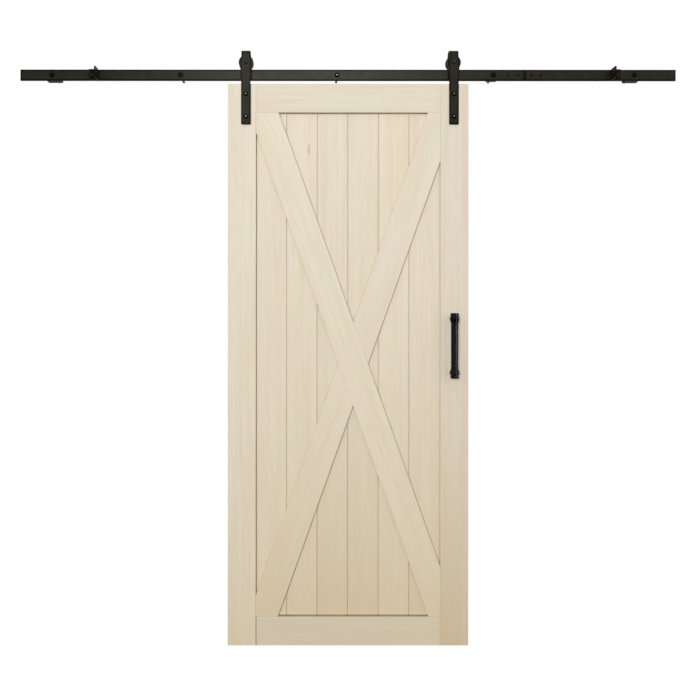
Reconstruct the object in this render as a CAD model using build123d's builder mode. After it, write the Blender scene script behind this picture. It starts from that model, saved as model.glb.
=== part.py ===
from build123d import *
import math
import os

# A sliding barn door on a flat-bar track.
# The origin is on the wall, on the axis of the middle lag bolt. +X runs along the track to the
# right, +Y runs into the wall and +Z is up. Sizes that end in _out are distances from the wall
# towards the room, so a face at such a distance lies on Plane.XZ.offset(distance).

# Track
standoff = 30.0
rail_height = 42.0
rail_thickness = 6.0
rail_edge_chamfer = 0.8
track_length = 2500.0
track_centre_x = 42.5
short_rail_length = 576.0

# Wall fixings
left_spacer_inset = 610.0
right_spacer_from_seam = 119.0
spacer_diameter = 16.0
block_width = 40.0
block_height = 22.0
left_bracket_inset = 120.0
right_bracket_inset = 158.0
bracket_width = 56.0
bracket_height = 31.0
bracket_corner = 2.0
lag_hole_diameter = 9.0
lag_shank_diameter = 7.2
lag_thread_diameter = 8.0
lag_thread_length = 30.0
lag_tip_length = 7.0
lag_tip_diameter = 1.4
flush_head_diameter = 15.0
button_head_diameter = 16.0
button_head_height = 5.0
button_head_rim = 1.6
button_head_crown_diameter = 9.4
socket_across_flats = 6.0
socket_depth = 3.0

# Splice behind the seam of the two rails
splice_length = 160.0
splice_height = 30.0
splice_thickness = 5.0
splice_screw_pitch = 36.0
splice_screw_edge = 26.0
splice_head_diameter = 10.0
splice_head_height = 3.0
splice_hole_depth = 4.5

# End stops
left_stop_inset = 298.0
right_stop_inset = 248.5
stop_base_length = 36.0
stop_reach = 35.0
stop_thickness = 4.0
stop_bend_round = 5.0
stop_corner_round = 3.0
stop_screw_spacing = 22.0

# Small screws of the stops and the splice
machine_screw_diameter = 6.0
machine_head_diameter = 11.6
machine_socket_across_flats = 4.0
machine_socket_depth = 2.2

# Hangers
left_hanger_inset = 68.5
right_hanger_inset = 56.2
strap_thickness = 5.0
strap_head_width = 33.6
strap_body_width = 40.8
strap_leg_width = 35.4
strap_bend_rise = 30.0
strap_shoulder_top = 20.0
strap_shoulder_drop = 10.0
strap_body_drop = 63.0
strap_waist_drop = 9.0
strap_corner_round = 3.0
strap_length_below_axle = 237.5
rear_leg_drop = 21.5
rear_leg_round = 13.0
strap_bolt_first = 40.0
strap_bolt_spacing = 85.3
strap_bolt_diameter = 8.0
strap_washer_diameter = 20.0
strap_washer_thickness = 1.6
strap_nut_across_flats = 13.0
strap_nut_height = 5.0
counterbore_diameter = 22.0
counterbore_depth = 8.0

# Wheels
tread_radius = 25.0
flange_height = 3.0
wheel_width = 20.0
wheel_side_gap = 1.5
wheel_hub_diameter = 33.0
wheel_rim_inner_diameter = 40.0
wheel_web_recess = 2.0
wheel_edge_chamfer = 1.0
groove_side_gap = 0.35
tread_gap = 0.2
axle_diameter = 10.0
axle_spacer_diameter = 15.6
axle_nut_across_flats = 16.0
axle_nut_height = 6.0
axle_end_length = 1.0
bearing_width = 9.0
bearing_outer_diameter = 26.0
bearing_inner_ring_diameter = 16.0
bearing_shield_recess = 0.5
bearing_race_width = 2.4
wheel_lip_diameter = 20.0

# Door leaf
door_width = 914.4
door_height = 2133.6
door_thickness = 35.0
door_gap = 16.0
stile_width = 107.0
rail_board_width = 109.0
groove_depth = 10.0
panel_recess = 9.0
panel_thickness = 16.0
board_edge_chamfer = 1.0
dowel_diameter = 10.0
dowel_length = 60.0
dowel_spacing = 60.0

# Planks
plank_count = 6
plank_joint_gap = 0.4
plank_v_chamfer = 2.5
tongue_length = 6.0
tongue_thickness = 5.0
end_groove_width = 3.0
end_groove_depth = 2.0

# Braces
brace_width = 106.7
brace_corner_inset = 9.1
brace_centre_shift_x = 19.5
brace_centre_shift_z = 3.2
brace_screw_diameter = 4.0
brace_screw_head_diameter = 8.0
brace_screw_grip = 4.5
brace_screw_drive = 3.0
brace_screw_drive_depth = 1.6

# Handle
handle_x_from_edge = 64.1
handle_drop = 993.2
handle_length = 243.0
grip_diameter = 26.7
grip_cap_diameter = 30.6
grip_cap_height = 14.0
grip_cap_chamfer = 1.2
grip_collar_diameter = 35.8
grip_collar_land = 3.0
grip_collar_toe_diameter = 29.0
grip_collar_length = 21.0
grip_clearance = 31.7
post_spacing = 206.0
post_diameter = 12.0
post_foot_diameter = 14.6
post_foot_thickness = 2.0
post_seat_depth = 3.0
handle_bolt_diameter = 6.0
handle_bolt_grip = 6.0
handle_bolt_head_diameter = 12.0

# Clearances
fit_gap = 0.05
seat_gap = 0.1
hole_gap = 0.4

# Worked-out places
rail_front_out = standoff + rail_thickness
rail_middle_out = standoff + rail_thickness / 2
rail_top_z = rail_height / 2
track_left_x = track_centre_x - track_length / 2
track_right_x = track_centre_x + track_length / 2
seam_x = track_right_x - short_rail_length
left_spacer_x = track_left_x + left_spacer_inset
right_spacer_x = seam_x - right_spacer_from_seam
bracket_x = {"left": track_left_x + left_bracket_inset, "right": track_right_x - right_bracket_inset}
left_stop_face_x = track_left_x + left_stop_inset
right_stop_face_x = track_right_x - right_stop_inset

strap_half_gap = wheel_width / 2 + wheel_side_gap
strap_back_out = rail_middle_out + strap_half_gap
strap_front_out = strap_back_out + strap_thickness
rear_leg_front_out = rail_middle_out - strap_half_gap
rear_leg_back_out = rear_leg_front_out - strap_thickness
axle_z = rail_top_z + tread_radius

door_front_out = strap_back_out
door_back_out = door_front_out - door_thickness
door_left_x = track_centre_x - door_width / 2
door_right_x = track_centre_x + door_width / 2
door_top_z = -rail_top_z - door_gap
door_bottom_z = door_top_z - door_height
door_middle_z = (door_top_z + door_bottom_z) / 2

panel_front_out = door_front_out - panel_recess
panel_back_out = panel_front_out - panel_thickness
panel_middle_out = (panel_front_out + panel_back_out) / 2
opening_width = door_width - 2 * stile_width
opening_height = door_height - 2 * rail_board_width
opening_left_x = door_left_x + stile_width
opening_top_z = door_top_z - rail_board_width
opening_bottom_z = door_bottom_z + rail_board_width
tongue_reach = groove_depth - seat_gap

hanger_x = {"left": door_left_x + left_hanger_inset, "right": door_right_x - right_hanger_inset}
strap_bolt_z = (door_top_z - strap_bolt_first, door_top_z - strap_bolt_first - strap_bolt_spacing)
strap_bolt_places = [(x, z) for x in hanger_x.values() for z in strap_bolt_z]

brace_x = track_centre_x + brace_centre_shift_x
brace_z = door_middle_z + brace_centre_shift_z
brace_slope = (opening_width / 2 - brace_corner_inset) / (opening_height / 2)
brace_angle = math.degrees(math.atan(brace_slope))
plank_pitch = opening_width / plank_count
plank_middle_x = [opening_left_x + (index + 0.5) * plank_pitch for index in range(plank_count)]

handle_x = door_right_x - handle_x_from_edge
handle_z = door_top_z - handle_drop
grip_axis_out = door_front_out + grip_clearance + grip_diameter / 2
post_z = {"upper": handle_z + post_spacing / 2, "lower": handle_z - post_spacing / 2}

os.makedirs("parts", exist_ok=True)


# Track rails

def stop_screw_places(face_x, outward):
    """Two screws one above the other in the middle of a stop's base."""
    x = face_x + outward * (stop_thickness + stop_base_length) / 2
    return [(x, stop_screw_spacing / 2), (x, -stop_screw_spacing / 2)]


splice_screw_x = [
    seam_x - splice_screw_edge - splice_screw_pitch,
    seam_x - splice_screw_edge,
    seam_x + splice_screw_edge,
    seam_x + splice_screw_edge + splice_screw_pitch,
]
left_stop_screws = stop_screw_places(left_stop_face_x, -1)
right_stop_screws = stop_screw_places(right_stop_face_x, 1)
flush_lag_x = [bracket_x["left"], left_spacer_x, right_spacer_x, bracket_x["right"]]


def track_rail(left_x, right_x, flush_x, plain_x, tapped, splice_x):
    """A flat bar with its lag holes, the tapped holes of its stop and blind holes behind."""
    with BuildPart() as rail:
        with BuildSketch(Plane.XZ.offset(standoff)):
            with Locations(((left_x + right_x) / 2, 0)):
                Rectangle(right_x - left_x, rail_height)
        extrude(amount=rail_thickness)
        chamfer(rail.edges().filter_by(Axis.X), rail_edge_chamfer)
        with Locations(Plane.XZ.offset(rail_front_out)):
            with Locations(*[(x, 0) for x in flush_x]):
                CounterSinkHole(lag_hole_diameter / 2, flush_head_diameter / 2 + seat_gap)
            with Locations(*tapped):
                Hole(machine_screw_diameter / 2)
            if plain_x:
                with Locations(*[(x, 0) for x in plain_x]):
                    Hole(lag_hole_diameter / 2)
        with BuildSketch(Plane.XZ.offset(standoff)):
            with Locations(*[(x, 0) for x in splice_x]):
                Circle(machine_screw_diameter / 2)
        extrude(amount=splice_hole_depth, mode=Mode.SUBTRACT)
    return rail


long_rail = track_rail(
    track_left_x, seam_x, flush_lag_x[:3], [0], left_stop_screws, splice_screw_x[:2]
)
long_rail.part.label = "long_rail"
export_step(long_rail.part, "parts/long_rail.step")

short_rail = track_rail(
    seam_x, track_right_x, flush_lag_x[3:], [], right_stop_screws, splice_screw_x[2:]
)
short_rail.part.label = "short_rail"
export_step(short_rail.part, "parts/short_rail.step")

# Splice plate and its screws, driven from behind

with BuildPart() as splice_plate:
    with BuildSketch(Plane.XZ.offset(standoff - splice_thickness)):
        with Locations((seam_x, 0)):
            Rectangle(splice_length, splice_height)
        with Locations(*[(x, 0) for x in splice_screw_x]):
            Circle((machine_screw_diameter + hole_gap) / 2, mode=Mode.SUBTRACT)
    extrude(amount=splice_thickness)
    chamfer(splice_plate.faces().sort_by(Axis.Y)[-1].outer_wire().edges(), rail_edge_chamfer)
splice_plate.part.label = "splice_plate"
export_step(splice_plate.part, "parts/splice_plate.step")

splice_back_out = standoff - splice_thickness
with BuildPart() as splice_screws:
    with BuildSketch(Plane.XZ.offset(splice_back_out)):
        with Locations(*[(x, 0) for x in splice_screw_x]):
            Circle(machine_screw_diameter / 2 - fit_gap)
    extrude(amount=splice_thickness + splice_hole_depth - hole_gap)
    with BuildSketch(Plane.XZ.offset(splice_back_out - splice_head_height)):
        with Locations(*[(x, 0) for x in splice_screw_x]):
            Circle(splice_head_diameter / 2)
    extrude(amount=splice_head_height)
    with BuildSketch(Plane.XZ.offset(splice_back_out - splice_head_height)):
        with Locations(*[(x, 0) for x in splice_screw_x]):
            RegularPolygon(machine_socket_across_flats / 2, 6, major_radius=False)
    extrude(amount=machine_socket_depth, mode=Mode.SUBTRACT)
splice_screws.part.label = "splice_screws"
export_step(splice_screws.part, "parts/splice_screws.step")

# Spacers and wall brackets between the track and the wall. The spacer beside the seam is a block.

for name, x in (("left_spacer", left_spacer_x), ("middle_spacer", 0)):
    with BuildPart() as spacer:
        with BuildSketch(Plane.XZ):
            with Locations((x, 0)):
                Circle(spacer_diameter / 2)
                Circle(lag_hole_diameter / 2, mode=Mode.SUBTRACT)
        extrude(amount=standoff)
    spacer.part.label = name
    export_step(spacer.part, f"parts/{name}.step")

with BuildPart() as right_spacer:
    with BuildSketch(Plane.XZ):
        with Locations((right_spacer_x, 0)):
            RectangleRounded(block_width, block_height, bracket_corner)
            Circle(lag_hole_diameter / 2, mode=Mode.SUBTRACT)
    extrude(amount=standoff)
right_spacer.part.label = "right_spacer"
export_step(right_spacer.part, "parts/right_spacer.step")

for side, x in bracket_x.items():
    with BuildPart() as wall_bracket:
        with BuildSketch(Plane.XZ):
            with Locations((x, 0)):
                RectangleRounded(bracket_width, bracket_height, bracket_corner)
                Circle(lag_hole_diameter / 2, mode=Mode.SUBTRACT)
        extrude(amount=standoff)
    wall_bracket.part.label = f"{side}_wall_bracket"
    export_step(wall_bracket.part, f"parts/{side}_wall_bracket.step")


# Fasteners. Each maker gives a part of its own, which the piece that uses it takes in.

def lag_shanks(places):
    """Rolled shanks from the wall to the rail's front, and threaded ends that taper to a point."""
    with BuildPart() as shanks:
        with BuildSketch(Plane.XZ):
            with Locations(*places):
                Circle(lag_shank_diameter / 2)
        extrude(amount=rail_front_out)
        with BuildSketch(Plane.XZ):
            with Locations(*places):
                Circle(lag_thread_diameter / 2)
        extrude(amount=-lag_thread_length)
        with Locations(-Plane.XZ.offset(-lag_thread_length)):
            with Locations(*[(x, -z) for x, z in places]):
                Cone(
                    lag_thread_diameter / 2,
                    lag_tip_diameter / 2,
                    lag_tip_length,
                    align=(Align.CENTER, Align.CENTER, Align.MIN),
                )
    return shanks.part


def cone_row(places, foot_out, foot_diameter, top_diameter, height):
    """Cones on a plane parallel to the wall, narrowing towards the room."""
    with BuildPart() as cones:
        with Locations(Plane.XZ.offset(foot_out)):
            with Locations(*places):
                Cone(
                    foot_diameter / 2,
                    top_diameter / 2,
                    height,
                    align=(Align.CENTER, Align.CENTER, Align.MIN),
                )
    return cones.part


def button_heads(places, seat_out):
    """Bevelled heads with a hexagon socket, seated at a distance from the wall."""
    with BuildPart() as heads:
        with BuildSketch(Plane.XZ.offset(seat_out)):
            with Locations(*places):
                Circle(button_head_diameter / 2)
        extrude(amount=button_head_rim)
        add(
            cone_row(
                places,
                seat_out + button_head_rim,
                button_head_diameter,
                button_head_crown_diameter,
                button_head_height - button_head_rim,
            )
        )
        with BuildSketch(Plane.XZ.offset(seat_out + button_head_height)):
            with Locations(*places):
                RegularPolygon(socket_across_flats / 2, 6, major_radius=False)
        extrude(amount=-socket_depth, mode=Mode.SUBTRACT)
    return heads.part


def countersunk_heads(places, face_out, head_diameter, shank_diameter):
    """Cone-shaped heads whose flat side faces the room at a distance from the wall."""
    height = (head_diameter - shank_diameter) / 2
    return cone_row(places, face_out - height, shank_diameter, head_diameter, height)


def hexagon_nuts(places, seat_out, across_flats, height, hole_radius):
    """Nuts seated at a distance from the wall, standing towards the wall."""
    with BuildPart() as nuts:
        with BuildSketch(Plane.XZ.offset(seat_out - height)):
            with Locations(*places):
                RegularPolygon(across_flats / 2, 6, major_radius=False)
                Circle(hole_radius, mode=Mode.SUBTRACT)
        extrude(amount=height)
    return nuts


with BuildPart() as middle_lag_bolt:
    add(lag_shanks([(0, 0)]))
    add(button_heads([(0, 0)], rail_front_out))
middle_lag_bolt.part.label = "middle_lag_bolt"
export_step(middle_lag_bolt.part, "parts/middle_lag_bolt.step")

flush_lag_places = [(x, 0) for x in flush_lag_x]
with BuildPart() as flush_lag_screws:
    add(lag_shanks(flush_lag_places))
    add(countersunk_heads(flush_lag_places, rail_front_out, flush_head_diameter, lag_shank_diameter))
    with BuildSketch(Plane.XZ.offset(rail_front_out)):
        with Locations(*flush_lag_places):
            RegularPolygon(socket_across_flats / 2, 6, major_radius=False)
    extrude(amount=-socket_depth, mode=Mode.SUBTRACT)
flush_lag_screws.part.label = "flush_lag_screws"
export_step(flush_lag_screws.part, "parts/flush_lag_screws.step")

# End stops: steel angles whose flange stands out in the straps' way

stop_front_out = rail_front_out + stop_thickness
for side, face_x, outward, screws in (
    ("left", left_stop_face_x, -1, left_stop_screws),
    ("right", right_stop_face_x, 1, right_stop_screws),
):
    with BuildPart() as end_stop:
        with BuildSketch(Plane.XY.offset(-rail_top_z)) as angle:
            with BuildLine():
                Polyline(
                    (face_x, -rail_front_out),
                    (face_x, -rail_front_out - stop_reach),
                    (face_x + outward * stop_thickness, -rail_front_out - stop_reach),
                    (face_x + outward * stop_thickness, -stop_front_out),
                    (face_x + outward * stop_base_length, -stop_front_out),
                    (face_x + outward * stop_base_length, -rail_front_out),
                    close=True,
                )
            make_face()
            bend_corner = angle.vertices().sort_by_distance((face_x, -rail_front_out))[0]
            fillet(bend_corner, stop_bend_round)
        extrude(amount=rail_height)
        tip_edges = end_stop.edges().filter_by(Axis.X).group_by(Axis.Y)[0]
        fillet(tip_edges, stop_corner_round)
        with Locations(Plane.XZ.offset(stop_front_out)):
            with Locations(*screws):
                CounterSinkHole(
                    (machine_screw_diameter + hole_gap) / 2, machine_head_diameter / 2 + seat_gap
                )
    end_stop.part.label = f"{side}_end_stop"
    export_step(end_stop.part, f"parts/{side}_end_stop.step")

end_stop_screw_places = left_stop_screws + right_stop_screws
with BuildPart() as end_stop_screws:
    with BuildSketch(Plane.XZ.offset(standoff)):
        with Locations(*end_stop_screw_places):
            Circle(machine_screw_diameter / 2 - fit_gap)
    extrude(amount=stop_front_out - standoff)
    add(
        countersunk_heads(
            end_stop_screw_places, stop_front_out, machine_head_diameter, machine_screw_diameter
        )
    )
    with BuildSketch(Plane.XZ.offset(stop_front_out)):
        with Locations(*end_stop_screw_places):
            RegularPolygon(machine_socket_across_flats / 2, 6, major_radius=False)
    extrude(amount=-machine_socket_depth, mode=Mode.SUBTRACT)
end_stop_screws.part.label = "end_stop_screws"
export_step(end_stop_screws.part, "parts/end_stop_screws.step")

# Hanger straps: flat bar bent over the wheel like a hairpin

strap_bottom_z = axle_z - strap_length_below_axle
bend_z = axle_z + strap_bend_rise
strap_top_z = bend_z + strap_half_gap + strap_thickness
rear_leg_bottom_z = axle_z - rear_leg_drop
shoulder_z = axle_z + strap_shoulder_top
waist_z = shoulder_z - strap_shoulder_drop - strap_body_drop

for side, x in hanger_x.items():
    with BuildPart() as hanger_strap:
        with BuildSketch(Plane.YZ.offset(x - strap_body_width)):
            with BuildLine():
                inner_front = Line((-strap_back_out, strap_bottom_z), (-strap_back_out, bend_z))
                inner_bend = TangentArc(inner_front @ 1, (-rear_leg_front_out, bend_z), tangent=(0, 1))
                inner_rear = Line(inner_bend @ 1, (-rear_leg_front_out, rear_leg_bottom_z))
                rear_end = Line(inner_rear @ 1, (-rear_leg_back_out, rear_leg_bottom_z))
                outer_rear = Line(rear_end @ 1, (-rear_leg_back_out, bend_z))
                outer_bend = TangentArc(outer_rear @ 1, (-strap_front_out, bend_z), tangent=(0, 1))
                outer_front = Line(outer_bend @ 1, (-strap_front_out, strap_bottom_z))
                Line(outer_front @ 1, inner_front @ 0)
            make_face()
        extrude(amount=2 * strap_body_width)
        with BuildSketch(Plane.XZ):
            with BuildLine(Plane.XZ):
                FilletPolyline(
                    (x - strap_head_width / 2, strap_top_z + strap_corner_round),
                    (x - strap_head_width / 2, shoulder_z),
                    (x - strap_body_width / 2, shoulder_z - strap_shoulder_drop),
                    (x - strap_body_width / 2, waist_z),
                    (x - strap_leg_width / 2, waist_z - strap_waist_drop),
                    (x - strap_leg_width / 2, strap_bottom_z),
                    (x + strap_leg_width / 2, strap_bottom_z),
                    (x + strap_leg_width / 2, waist_z - strap_waist_drop),
                    (x + strap_body_width / 2, waist_z),
                    (x + strap_body_width / 2, shoulder_z - strap_shoulder_drop),
                    (x + strap_head_width / 2, shoulder_z),
                    (x + strap_head_width / 2, strap_top_z + strap_corner_round),
                    radius=strap_corner_round,
                    close=True,
                )
            make_face()
        extrude(amount=strap_front_out, mode=Mode.INTERSECT)
        rear_corners = hanger_strap.edges().filter_by(Axis.Y).filter_by_position(
            Axis.Z, rear_leg_bottom_z - seat_gap, rear_leg_bottom_z + seat_gap
        )
        fillet(rear_corners, rear_leg_round)
        with BuildSketch(Plane.XZ):
            with Locations((x, axle_z)):
                Circle(axle_diameter / 2 + fit_gap)
            with Locations(*[(x, z) for z in strap_bolt_z]):
                Circle((strap_bolt_diameter + hole_gap) / 2)
        extrude(amount=strap_front_out, mode=Mode.SUBTRACT)
    hanger_strap.part.label = f"{side}_hanger_strap"
    export_step(hanger_strap.part, f"parts/{side}_hanger_strap.step")

# Wheels: a grooved tyre section with a webbed hub, turned in one piece

bearing_front_out = rail_middle_out + bearing_width / 2
bearing_back_out = rail_middle_out - bearing_width / 2
wheel_front_out = rail_middle_out + wheel_width / 2
wheel_back_out = rail_middle_out - wheel_width / 2
flange_radius = tread_radius + flange_height
groove_half = rail_thickness / 2 + groove_side_gap


def wheel_side(side_out, inward):
    """Points of one side face from the hub's rim to the flange's edge, at radii from the axle."""
    return [
        (side_out, wheel_hub_diameter / 2),
        (side_out + inward * wheel_web_recess, wheel_hub_diameter / 2),
        (side_out + inward * wheel_web_recess, wheel_rim_inner_diameter / 2),
        (side_out, wheel_rim_inner_diameter / 2),
        (side_out, flange_radius - wheel_edge_chamfer),
        (side_out + inward * wheel_edge_chamfer, flange_radius),
    ]


def groove_side(inward):
    """Points of one side of the groove from the flange's edge down to the tread."""
    edge_out = rail_middle_out - inward * groove_half
    return [
        (edge_out - inward * wheel_edge_chamfer, flange_radius),
        (edge_out, flange_radius - wheel_edge_chamfer),
        (edge_out, tread_radius - tread_gap),
    ]


wheel_outline = (
    [(wheel_front_out, wheel_lip_diameter / 2)]
    + wheel_side(wheel_front_out, -1)
    + groove_side(-1)
    + groove_side(1)[::-1]
    + wheel_side(wheel_back_out, 1)[::-1]
    + [
        (wheel_back_out, bearing_outer_diameter / 2 + fit_gap),
        (bearing_front_out, bearing_outer_diameter / 2 + fit_gap),
        (bearing_front_out, wheel_lip_diameter / 2),
    ]
)
shield_recess_out = bearing_width / 2 - bearing_shield_recess
outer_race_radius = bearing_outer_diameter / 2 - bearing_race_width
shield_radius = bearing_inner_ring_diameter / 2 + fit_gap
bearing_outline = [
    (rail_middle_out + bearing_width / 2, bearing_outer_diameter / 2),
    (rail_middle_out + bearing_width / 2, outer_race_radius),
    (rail_middle_out + shield_recess_out, outer_race_radius),
    (rail_middle_out + shield_recess_out, shield_radius),
    (rail_middle_out - shield_recess_out, shield_radius),
    (rail_middle_out - shield_recess_out, outer_race_radius),
    (rail_middle_out - bearing_width / 2, outer_race_radius),
    (rail_middle_out - bearing_width / 2, bearing_outer_diameter / 2),
]

for side, x in hanger_x.items():
    axle_line = Axis((x, 0, axle_z), (0, 1, 0))

    with BuildPart() as wheel:
        with BuildSketch(Plane.YZ.offset(x)):
            with BuildLine():
                Polyline(*[(-out, axle_z + radius) for out, radius in wheel_outline], close=True)
            make_face()
        revolve(axis=axle_line)
    wheel.part.label = f"{side}_wheel"
    export_step(wheel.part, f"parts/{side}_wheel.step")

    # Sealed ball bearing: its outer ring with the shields turns with the wheel
    with BuildPart() as bearing_outer_ring:
        with BuildSketch(Plane.YZ.offset(x)):
            with BuildLine():
                Polyline(*[(-out, axle_z + radius) for out, radius in bearing_outline], close=True)
            make_face()
        revolve(axis=axle_line)
    bearing_outer_ring.part.label = f"{side}_bearing_outer_ring"
    export_step(bearing_outer_ring.part, f"parts/{side}_bearing_outer_ring.step")

    with BuildPart() as bearing_inner_ring:
        with BuildSketch(Plane.XZ.offset(bearing_back_out)):
            with Locations((x, axle_z)):
                Circle(bearing_inner_ring_diameter / 2)
                Circle(axle_diameter / 2 + fit_gap, mode=Mode.SUBTRACT)
        extrude(amount=bearing_width)
    bearing_inner_ring.part.label = f"{side}_bearing_inner_ring"
    export_step(bearing_inner_ring.part, f"parts/{side}_bearing_inner_ring.step")

    # Two tubes hold the inner ring in the middle between the strap's legs
    with BuildPart() as axle_spacers:
        with BuildSketch(Plane.XZ.offset(rear_leg_front_out)):
            with Locations((x, axle_z)):
                Circle(axle_spacer_diameter / 2)
                Circle(axle_diameter / 2 + fit_gap, mode=Mode.SUBTRACT)
        extrude(amount=bearing_back_out - rear_leg_front_out)
        with BuildSketch(Plane.XZ.offset(bearing_front_out)):
            with Locations((x, axle_z)):
                Circle(axle_spacer_diameter / 2)
                Circle(axle_diameter / 2 + fit_gap, mode=Mode.SUBTRACT)
        extrude(amount=strap_back_out - bearing_front_out)
    axle_spacers.part.label = f"{side}_axle_spacers"
    export_step(axle_spacers.part, f"parts/{side}_axle_spacers.step")

    with BuildPart() as axle_bolt:
        axle_end_out = rear_leg_back_out - axle_nut_height - axle_end_length
        with BuildSketch(Plane.XZ.offset(axle_end_out)):
            with Locations((x, axle_z)):
                Circle(axle_diameter / 2)
        extrude(amount=strap_front_out - axle_end_out)
        add(button_heads([(x, axle_z)], strap_front_out))
    axle_bolt.part.label = f"{side}_axle_bolt"
    export_step(axle_bolt.part, f"parts/{side}_axle_bolt.step")


axle_nuts = hexagon_nuts(
    [(x, axle_z) for x in hanger_x.values()],
    rear_leg_back_out,
    axle_nut_across_flats,
    axle_nut_height,
    axle_diameter / 2 + fit_gap,
)
axle_nuts.part.label = "axle_nuts"
export_step(axle_nuts.part, "parts/axle_nuts.step")

# Bolts that hold the straps to the stiles, with washers and nuts sunk into the back

counterbore_floor_out = door_back_out + counterbore_depth
nut_face_out = counterbore_floor_out - strap_washer_thickness

with BuildPart() as strap_bolts:
    with BuildSketch(Plane.XZ.offset(nut_face_out - strap_nut_height)):
        with Locations(*strap_bolt_places):
            Circle(strap_bolt_diameter / 2)
    extrude(amount=strap_front_out - nut_face_out + strap_nut_height)
    add(button_heads(strap_bolt_places, strap_front_out))
strap_bolts.part.label = "strap_bolts"
export_step(strap_bolts.part, "parts/strap_bolts.step")

with BuildPart() as strap_washers:
    with BuildSketch(Plane.XZ.offset(nut_face_out)):
        with Locations(*strap_bolt_places):
            Circle(strap_washer_diameter / 2)
            Circle(strap_bolt_diameter / 2 + fit_gap, mode=Mode.SUBTRACT)
    extrude(amount=strap_washer_thickness)
strap_washers.part.label = "strap_washers"
export_step(strap_washers.part, "parts/strap_washers.step")

strap_nuts = hexagon_nuts(
    strap_bolt_places,
    nut_face_out,
    strap_nut_across_flats,
    strap_nut_height,
    strap_bolt_diameter / 2 + fit_gap,
)
strap_nuts.part.label = "strap_nuts"
export_step(strap_nuts.part, "parts/strap_nuts.step")

# Frame of the leaf: two stiles and two rails, grooved for the planks

rail_middle_z = {
    "top": opening_top_z + rail_board_width / 2,
    "bottom": opening_bottom_z - rail_board_width / 2,
}
dowel_z = [z + shift for z in rail_middle_z.values() for shift in (-dowel_spacing / 2, dowel_spacing / 2)]
dowel_hole_depth = dowel_length / 2 + hole_gap
groove_width = panel_thickness + 2 * seat_gap
handle_places = [(handle_x, z) for z in post_z.values()]

for side, outer_x, inward in (("left", door_left_x, 1), ("right", door_right_x, -1)):
    inner_x = outer_x + inward * stile_width
    groove_floor_x = inner_x - inward * groove_depth
    with BuildPart() as stile:
        with BuildSketch(Plane.XZ.offset(door_back_out)):
            with Locations(((outer_x + inner_x) / 2, door_middle_z)):
                Rectangle(stile_width, door_height)
        extrude(amount=door_thickness)
        chamfer(stile.edges().filter_by(Axis.Z), board_edge_chamfer)
        with BuildSketch(Plane.XY.offset(door_bottom_z)):
            with Locations(((inner_x + groove_floor_x) / 2, -panel_middle_out)):
                Rectangle(groove_depth, groove_width)
        extrude(amount=door_height, mode=Mode.SUBTRACT)
        with BuildSketch(Plane.YZ.offset(groove_floor_x)):
            with Locations(*[(-panel_middle_out, z) for z in dowel_z]):
                Circle(dowel_diameter / 2 + fit_gap)
        extrude(amount=-inward * dowel_hole_depth, mode=Mode.SUBTRACT)
        with BuildSketch(Plane.XZ.offset(door_back_out)):
            with Locations(*[(hanger_x[side], z) for z in strap_bolt_z]):
                Circle((strap_bolt_diameter + hole_gap) / 2)
        extrude(amount=door_thickness, mode=Mode.SUBTRACT)
        with BuildSketch(Plane.XZ.offset(door_back_out)):
            with Locations(*[(hanger_x[side], z) for z in strap_bolt_z]):
                Circle(counterbore_diameter / 2)
        extrude(amount=counterbore_depth, mode=Mode.SUBTRACT)
        if side == "right":
            with Locations(-Plane.XZ.offset(door_back_out)):
                with Locations(*[(x, -z) for x, z in handle_places]):
                    CounterSinkHole(
                        (handle_bolt_diameter + hole_gap) / 2, handle_bolt_head_diameter / 2 + seat_gap
                    )
    stile.part.label = f"{side}_stile"
    export_step(stile.part, f"parts/{side}_stile.step")

for end, inner_z, outward in (("top", opening_top_z, 1), ("bottom", opening_bottom_z, -1)):
    middle_z = rail_middle_z[end]
    with BuildPart() as cross_rail:
        with BuildSketch(Plane.XZ.offset(door_back_out)):
            with Locations((track_centre_x, middle_z)):
                Rectangle(opening_width, rail_board_width)
        extrude(amount=door_thickness)
        chamfer(cross_rail.edges().filter_by(Axis.Z), board_edge_chamfer)
        with BuildSketch(Plane.XZ.offset(panel_back_out)):
            with Locations((track_centre_x, middle_z)):
                Rectangle(opening_width + 2 * tongue_reach, rail_board_width)
        extrude(amount=panel_thickness)
        with BuildSketch(Plane.YZ.offset(opening_left_x - groove_depth)):
            with Locations((-panel_middle_out, inner_z + outward * groove_depth / 2)):
                Rectangle(groove_width, groove_depth)
        extrude(amount=opening_width + 2 * groove_depth, mode=Mode.SUBTRACT)
        for edge_x, inward in ((opening_left_x, 1), (opening_left_x + opening_width, -1)):
            with BuildSketch(Plane.YZ.offset(edge_x - inward * groove_depth)):
                with Locations(*[(-panel_middle_out, z) for z in dowel_z]):
                    Circle(dowel_diameter / 2 + fit_gap)
            extrude(amount=inward * dowel_hole_depth, mode=Mode.SUBTRACT)
    cross_rail.part.label = f"{end}_rail"
    export_step(cross_rail.part, f"parts/{end}_rail.step")

with BuildPart() as frame_dowels:
    for middle_x in (opening_left_x - groove_depth, opening_left_x + opening_width + groove_depth):
        with BuildSketch(Plane.YZ.offset(middle_x - dowel_length / 2)):
            with Locations(*[(-panel_middle_out, z) for z in dowel_z]):
                Circle(dowel_diameter / 2)
        extrude(amount=dowel_length)
frame_dowels.part.label = "frame_dowels"
export_step(frame_dowels.part, "parts/frame_dowels.step")

# Tongue-and-groove planks with V joints, let into the frame all round


def screws_on_plank(x):
    """One screw into each brace, where the brace's middle line crosses the plank's."""
    height = (x - brace_x) / brace_slope
    return [(x, brace_z - height), (x, brace_z + height)]


brace_screw_places = [place for x in plank_middle_x for place in screws_on_plank(x)]
plank_bottom_z = opening_bottom_z - tongue_reach
plank_length = opening_height + 2 * tongue_reach

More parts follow.
